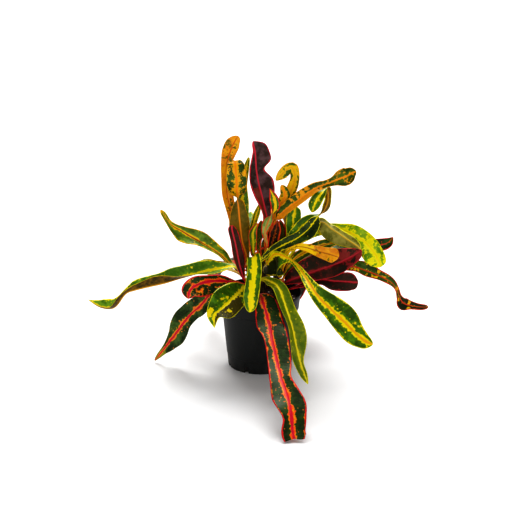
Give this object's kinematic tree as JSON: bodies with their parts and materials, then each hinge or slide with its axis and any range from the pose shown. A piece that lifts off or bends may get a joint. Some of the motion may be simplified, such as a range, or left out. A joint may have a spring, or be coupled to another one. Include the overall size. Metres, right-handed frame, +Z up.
{
  "type": "potted croton",
  "caption": "Bushy croton with twisted, arching leaves in green, yellow, orange and dark red, in a round black nursery pot.",
  "frame": {"origin": "centre of the pot's flat underside, on the surface that the pot stands on", "axes": "+Z up along the pot's axis, +X to the right of the plant as seen in the picture, where the longest low leaves spread, and +Y away from that view"},
  "size_m": [0.5053, 0.5012, 0.3386],
  "materials": {
    "pot": "matte black moulded plastic, lightly dusty",
    "soil": "loose dark peat mix with bark crumbs and perlite",
    "stem": "grey-brown bark with leaf scars",
    "leaf_gold": "glossy leathery green leaf with a yellow midrib, margin and specks",
    "leaf_goldred": "glossy leathery green leaf with yellow veins and a red line in the midrib",
    "leaf_red": "glossy leathery blackish green leaf with a crimson midrib and orange specks",
    "leaf_orange": "glossy leathery golden orange leaf with dark green patches",
    "leaf_purple": "glossy leathery dark maroon leaf with a pink midrib",
    "leaf_lemon": "glossy leathery lemon yellow leaf with green patches"
  },
  "bodies": {
    "root": {"pot": "pot", "soil": "soil", "stem_left": "stem", "stem_back": "stem", "stem_right": "stem", "leaf_left_long": "leaf_gold", "leaf_left_upper": "leaf_goldred", "leaf_left_lower_red": "leaf_red", "leaf_left_curl_red": "leaf_red", "leaf_front_left_green": "leaf_gold", "leaf_front_center": "leaf_gold", "leaf_front_right_droop": "leaf_gold", "leaf_front_red_long": "leaf_red", "leaf_right_lower_gold": "leaf_gold", "leaf_mid_right_dark": "leaf_gold", "leaf_mid_right_curl": "leaf_gold", "leaf_right_long_orange": "leaf_orange", "leaf_purple_upright": "leaf_purple", "leaf_crescent_red": "leaf_goldred", "leaf_tall_orange": "leaf_orange", "leaf_upright_orange": "leaf_orange", "leaf_red_upright_left": "leaf_purple", "leaf_small_upright": "leaf_goldred", "leaf_centre_red": "leaf_red", "leaf_thin_yellow_back": "leaf_gold", "leaf_tip_back_yellow": "leaf_gold", "leaf_curly_top": "leaf_orange", "leaf_small_spoon": "leaf_orange", "leaf_green_upright_right": "leaf_gold", "leaf_big_right_pale": "leaf_lemon", "leaf_big_lemon": "leaf_lemon", "leaf_back_right_tip": "leaf_red", "leaf_right_far_wavy": "leaf_goldred", "leaf_dark_red_big": "leaf_purple", "leaf_dark_red_lower": "leaf_purple", "leaf_orange_spoon": "leaf_orange", "leaf_right_green_behind": "leaf_goldred", "leaf_centre_dark": "leaf_red", "leaf_centre_strip": "leaf_red", "leaf_back_centre_dark": "leaf_purple", "leaf_back_low_right": "leaf_red", "leaf_back_long": "leaf_gold", "leaf_back_left_low": "leaf_red", "leaf_back_left_mid": "leaf_goldred", "leaf_back_left_arch": "leaf_gold", "leaf_back_up_mid": "leaf_orange", "leaf_back_right_mid": "leaf_purple"}
  },
  "joints": []
}
